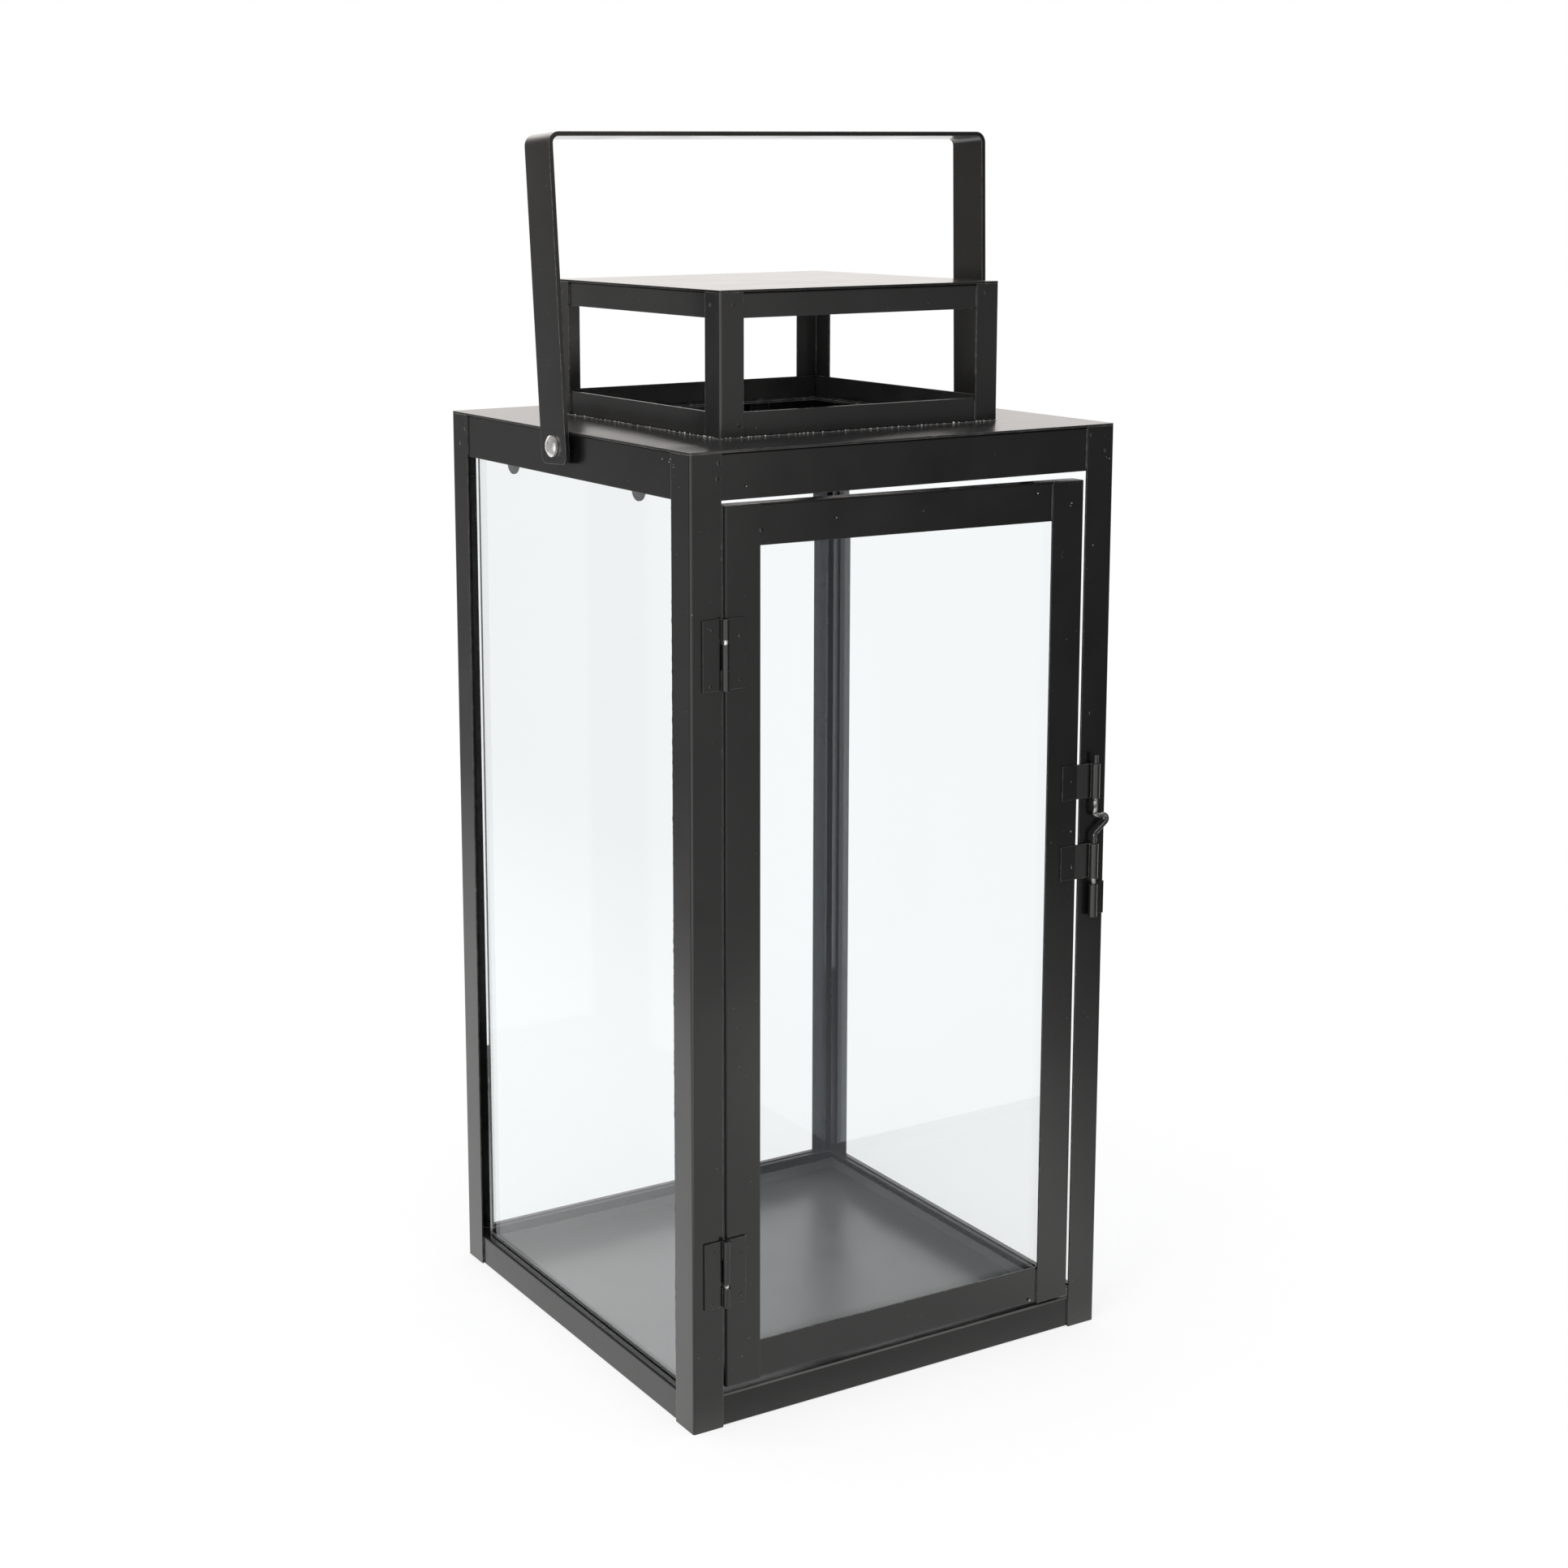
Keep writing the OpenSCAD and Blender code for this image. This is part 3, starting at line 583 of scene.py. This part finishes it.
DOOR_CHIPS = [
    ("front", 86.8, BODY_HALF, 390.7, 0.32, 0.12),
    ("front", 86.2, BODY_HALF, 389.6, 0.28, 0.12),
    ("front", 67.8, BODY_HALF, 396.4, 0.36, 0.12),
    ("front", -38.6, BODY_HALF, 393.6, 0.30, 0.10),
    ("front", 72.0, BODY_HALF, 18.6, 0.60, 0.20),
    ("front", 90.3, BODY_HALF, 240.6, 0.36, 0.15),
    ("front", 90.5, GUIDE_FACE, 223.6, 0.30, 0.38),
]
blobs("weld_pips_body", POST_PIPS, paint, "lantern")
blobs("weld_pips_cupola", CUPOLA_PIPS, cupola_paint, "lantern")
blobs("weld_pips_door", DOOR_PIPS, paint, "door")
blobs("paint_chips_body", BODY_CHIPS, primer, "lantern")
blobs("paint_chips_door", DOOR_CHIPS, primer, "door")


def uneven(place, coarse, fine):
    """A steady value from 0 to 1 that varies along a bead."""
    near = field.noise(Vector(place) * fine)
    far = field.noise(Vector(place) * coarse + Vector((7.3, 1.9, 4.1)))
    return min(1.0, max(0.0, 0.5 + 0.6 * near + 0.5 * far))


BEAD_CORNERS = 8


def bead(bm, side, start, step, count, radius_at):
    """A tube with a varying radius, pointed at both ends.

    start is along, out, z; step is the way from ring to ring and count the number of steps."""
    grid = bmesh.ops.create_grid(bm, x_segments=count, y_segments=BEAD_CORNERS, size=0.5)
    first_ring = Vector((start[0], -start[1], start[2]))
    way = Vector((step[0], -step[1], step[2]))
    outward = Vector((0, -1, 0))
    sideways = way.normalized().cross(outward)
    for vert in grid["verts"]:
        index = round((vert.co.x + 0.5) * count)
        turn = 2 * math.pi * round((vert.co.y + 0.5) * BEAD_CORNERS) / BEAD_CORNERS
        radius = radius_at(index) if 0 < index < count else 0.0
        ring = outward * math.cos(turn) * radius + sideways * math.sin(turn) * radius
        vert.co = FACES[side] @ ((first_ring + way * index + ring) * MM)


def finish_beads(name, bm, material, body):
    """Closes the tubes' seams and ends and makes them a piece."""
    bmesh.ops.remove_doubles(bm, verts=bm.verts, dist=0.000001)
    finish_piece(name, bm, material, body)


SEAM_STEP = 0.7
SEAM_RINGS = 208
# Above this value of the noise a speck of pale filler shows
SPECK_FROM = 0.16


def seam_bead():
    """Paint and filler that crept out of the joint between cupola and roof."""
    bm = bmesh.new()
    specks = []
    half = CUPOLA_HALF
    for number, side in enumerate(SIDES):
        def radius_at(index, number=number):
            return 0.25 + 0.60 * uneven((index * SEAM_STEP, 31.0 * number, 0.0), 0.05, 0.6)

        bead(bm, side, (-half, half, ROOF_TOP), (SEAM_STEP, 0.0, 0.0), SEAM_RINGS, radius_at)
        for index in range(SEAM_RINGS):
            over = field.noise(Vector((index * 0.83, 57.0 * number, 3.0))) - SPECK_FROM
            if over > 0.0:
                along = index * SEAM_STEP - half
                out = half + radius_at(index) * 0.80
                specks.append((side, along, out, ROOF_TOP + 0.45, 0.18 + 0.80 * over, 0.30))
    finish_beads("seam_bead", bm, seam_paint, "lantern")
    blobs("seam_specks", specks, seam_grit, "lantern")


DRIP_STEP = 1.2
DRIP_RINGS = 322
DRIP_START = 16.0
LEG_EDGE = 95.0
SHEET_MIDDLE = 109.6


def ragged_edges():
    """Drips of paint on the free edges of the front posts' side legs."""
    bm = bmesh.new()
    for side, edge in (("left", LEG_EDGE), ("right", -LEG_EDGE)):
        def radius_at(index, edge=edge):
            return 0.15 + 0.42 * uneven((index * DRIP_STEP, edge, 0.0), 0.08, 0.45)

        start = edge, SHEET_MIDDLE, DRIP_START
        bead(bm, side, start, (0.0, 0.0, DRIP_STEP), DRIP_RINGS, radius_at)
    finish_beads("ragged_edges", bm, paint, "lantern")


JOINT_STEP = 0.7


def joint_beads(name, rows, body):
    """Thin beads of paint in the joints where one sheet laps over another."""
    bm = bmesh.new()
    for number, (side, along, out, low, high) in enumerate(rows):
        def radius_at(index, number=number):
            return 0.14 + 0.16 * uneven((index * JOINT_STEP, 19.0 * number, 5.0), 0.1, 0.7)

        count = int((high - low) / JOINT_STEP)
        bead(bm, side, (along, out, low), (0.0, 0.0, JOINT_STEP), count, radius_at)
    finish_beads(name, bm, joint_paint, body)


def corner_joints(edge, out, spans):
    """The upright joints beside the posts of all four sides; spans are pairs of heights."""
    return [
        (side, along, out, low, high)
        for side in SIDES
        for along in (-edge, edge)
        for low, high in spans
    ]


# side, along, out, lower end, upper end
BODY_JOINTS = corner_joints(LEG_EDGE, 109.25, ((405.0, 424.2), (1.0, 14.3)))
CUPOLA_JOINTS = corner_joints(61.0, 72.25, ((475.8, 486.2), (425.5, 435.8)))
DOOR_JOINTS = [
    ("front", -76.2, 109.25, 385.2, 402.0),
    ("front", -76.2, 109.25, 18.4, 35.0),
    ("front", 76.3, 109.25, 383.6, 400.4),
    ("front", 76.3, 109.25, 16.8, 33.4),
]
seam_bead()
ragged_edges()
joint_beads("joint_beads_body", BODY_JOINTS, "lantern")
joint_beads("joint_beads_cupola", CUPOLA_JOINTS, "lantern")
joint_beads("joint_beads_door", DOOR_JOINTS, "door")


# ---- Studio ----

FLOOR_HALF = 8.0
FLOOR_COLOUR = 0.8, 0.8, 0.8, 1.0
# Glow of the white floor, and the shares of it that replace the matt floor in view and in gloss
FLOOR_GLOW = 1.12
SEEN_SHARE = 0.66
GLOSS_SHARE = 0.88
LEAST_GLOW = 0.03
# Strength of the light that the world gives to matt surfaces
MATT_LIGHT = 0.6
WARM_WHITE = 1.0, 0.965, 0.935

# Level directions of the things that the gloss sees
RIGHT_EDGE = 0.869, 0.495, 0.0
SWEEP_ALONG = 0.504, 0.864, 0.0
FRONT_FLAT = -0.34, -0.94, 0.0
LEFT_FLAT = -0.60, 0.80, 0.0
# A soft box at the front left, down to the floor, which only folds and round edges reflect
CORNER_BOX = -0.86, -0.49, 0.0

# Where each soft step of the reflected floor starts and ends, in metres, and its two levels
BEHIND = (-0.14, -0.09), (0.0, 1.0)
LEFT_PAPER = (-0.64, -0.24), (0.23, 1.43)
LEFT_BY_DEPTH = (0.2, 1.7), (0.94, 1.12)
LEFT_FAR_OFF = (-2.15, -1.75), (0.45, 1.0)
PAPER_EDGE = (0.20, -0.02), (0.0, 1.0)
FRONT_PAPER = (-0.75, -0.35), (0.42, 0.74)
RIGHT_PATCH = (0.06, 0.17), (0.0, 0.50)
PATCH_BY_DEPTH = (-0.8, -0.3), (0.0, 1.0)
FAR_FRONT = (-7.0, -3.0), (0.45, 0.0)
FAR_BACK = (3.7, 5.2), (0.0, 0.15)
FLOOR_CORNER = (0.22, 0.50), (0.0, 0.95)

# The same for the walls and the ceiling, by the cosine to their direction
BACKDROP = (0.55, 0.85), (0.0, 1.16)
BACKDROP_RISE = (0.15, 0.42), (1.0, 2.1)
FRONT_WALL = (0.55, 0.66), (0.0, 0.55)
LEFT_WALL = (0.70, 0.95), (0.05, 0.30)
CORNER_WALL = (0.86, 0.95), (0.0, 0.9)
CEILING = (0.70, 0.90), (0.0, 1.3)


def soft_step(tree, value, span, levels):
    """A soft step from one level to another."""
    return remap(tree, value, *span, *levels, smooth=True)


def product(tree, first, second):
    """The product of two sockets or values."""
    return combine(tree, "MULTIPLY", first, second)


def total(tree, first, *others):
    """The sum of two or more sockets or values."""
    for other in others:
        first = combine(tree, "ADD", first, other)
    return first


def ray_kinds(tree):
    """1 for rays that see the white background, straight or through glass; 1 for gloss only."""
    path = add(tree, "LightPath")
    white = combine(
        tree, "MAXIMUM", path.outputs["Is Camera Ray"], path.outputs["Is Transmission Ray"]
    )
    gloss = combine(tree, "SUBTRACT", path.outputs["Is Glossy Ray"], white)
    return white, combine(tree, "MAXIMUM", gloss, 0.0)


def side_paper(tree, x, y, behind):
    """The paper at the left of the lantern."""
    level = product(tree, behind, soft_step(tree, x, *LEFT_PAPER))
    level = product(tree, level, soft_step(tree, y, *LEFT_BY_DEPTH))
    return product(tree, level, soft_step(tree, x, *LEFT_FAR_OFF))


def front_paper(tree, place, x, y):
    """The paper in front of the lantern, with a brighter patch, and the soft box's foot."""
    inside = soft_step(tree, dot(tree, place, RIGHT_EDGE), *PAPER_EDGE)
    patch = product(tree, soft_step(tree, x, *RIGHT_PATCH), soft_step(tree, y, *PATCH_BY_DEPTH))
    near = product(tree, inside, total(tree, soft_step(tree, y, *FRONT_PAPER), patch))
    corner = soft_step(tree, dot(tree, place, CORNER_BOX), *FLOOR_CORNER)
    return total(tree, near, soft_step(tree, y, *FAR_FRONT), corner)


def paper_in_reflections(tree, place):
    """How bright each spot of the floor is in the paint's gloss."""
    x = dot(tree, place, X_AXIS)
    y = dot(tree, place, Y_AXIS)
    behind = soft_step(tree, y, *BEHIND)
    side = side_paper(tree, x, y, behind)
    before = combine(tree, "SUBTRACT", 1.0, behind)
    front = product(tree, front_paper(tree, place, x, y), before)
    return total(tree, side, front, soft_step(tree, y, *FAR_BACK), LEAST_GLOW)


def make_floor():
    """Pale matt floor that shows as white and keeps the shadow."""
    mesh = bpy.data.meshes.new("floor")
    bm = bmesh.new()
    bmesh.ops.create_grid(bm, x_segments=1, y_segments=1, size=FLOOR_HALF)
    bm.to_mesh(mesh)
    bm.free()
    floor = bpy.data.objects.new("floor", mesh)
    bpy.context.scene.collection.objects.link(floor)

    material, tree, output = new_material("pale_floor")
    place = add(tree, "TexCoord").outputs["Object"]
    matt = add(tree, "BsdfDiffuse")
    matt.inputs["Color"].default_value = FLOOR_COLOUR
    white, gloss = ray_kinds(tree)
    reflected = product(tree, gloss, paper_in_reflections(tree, place))
    glow = add(tree, "Emission")
    level = total(tree, product(tree, white, FLOOR_GLOW), reflected)
    tree.links.new(level, glow.inputs["Strength"])
    share = total(tree, product(tree, white, SEEN_SHARE), product(tree, gloss, GLOSS_SHARE))
    seen = mix_shaders(tree, share, matt.outputs["BSDF"], glow.outputs["Emission"])
    tree.links.new(seen, output.inputs["Surface"])
    dress(floor, material)


def walls_in_reflections(tree, way):
    """How bright the studio is in the gloss, by direction."""
    up = dot(tree, way, Z_AXIS)
    backdrop = soft_step(tree, dot(tree, way, SWEEP_ALONG), *BACKDROP)
    backdrop = product(tree, backdrop, soft_step(tree, up, *BACKDROP_RISE))
    front = soft_step(tree, dot(tree, way, FRONT_FLAT), *FRONT_WALL)
    left = soft_step(tree, dot(tree, way, LEFT_FLAT), *LEFT_WALL)
    corner = soft_step(tree, dot(tree, way, CORNER_BOX), *CORNER_WALL)
    return total(tree, backdrop, front, left, corner, soft_step(tree, up, *CEILING))


def make_world():
    """White behind, a white flat in front and a dim studio at the sides, all soft."""
    world = bpy.data.worlds.new("studio")
    world.use_nodes = True
    tree = world.node_tree
    tree.nodes.clear()
    output = tree.nodes.new("ShaderNodeOutputWorld")
    sky = tree.nodes.new("ShaderNodeBackground")
    white, gloss = ray_kinds(tree)
    way = add(tree, "TexCoord").outputs["Generated"]
    matt = combine(tree, "SUBTRACT", combine(tree, "SUBTRACT", 1.0, white), gloss)
    reflected = product(tree, gloss, walls_in_reflections(tree, way))
    level = total(tree, white, reflected, product(tree, matt, MATT_LIGHT))
    tree.links.new(level, sky.inputs["Strength"])
    tint = mix_colours(tree, gloss, (1.0, 1.0, 1.0), WARM_WHITE)
    tree.links.new(tint, sky.inputs["Color"])
    tree.links.new(sky.outputs["Background"], output.inputs["Surface"])
    bpy.context.scene.world = world


def soft_box(name, place, target, width, height, power):
    """A rectangular soft lamp that faces a point."""
    lamp = bpy.data.lights.new(name, "AREA")
    lamp.shape = "RECTANGLE"
    lamp.size = width
    lamp.size_y = height
    lamp.energy = power
    obj = bpy.data.objects.new(name, lamp)
    obj.location = place
    obj.rotation_euler = (Vector(target) - Vector(place)).to_track_quat("-Z", "Y").to_euler()
    obj.visible_camera = False
    obj.visible_transmission = False
    bpy.context.scene.collection.objects.link(obj)


def soft_sun(name, place, angle, strength):
    """Even light from a wide part of the ceiling."""
    lamp = bpy.data.lights.new(name, "SUN")
    lamp.angle = math.radians(angle)
    lamp.energy = strength
    obj = bpy.data.objects.new(name, lamp)
    obj.rotation_euler = (-Vector(place)).to_track_quat("-Z", "Y").to_euler()
    bpy.context.scene.collection.objects.link(obj)


make_floor()
make_world()
soft_sun("ceiling", (-0.25, -0.15, 1.0), 70.0, 1.3)
soft_box("left_box", (-1.6, -0.9, 1.0), (0.0, 0.0, 0.25), 0.5, 1.3, 5.0)

scene = bpy.context.scene
scene.view_settings.view_transform = "Standard"
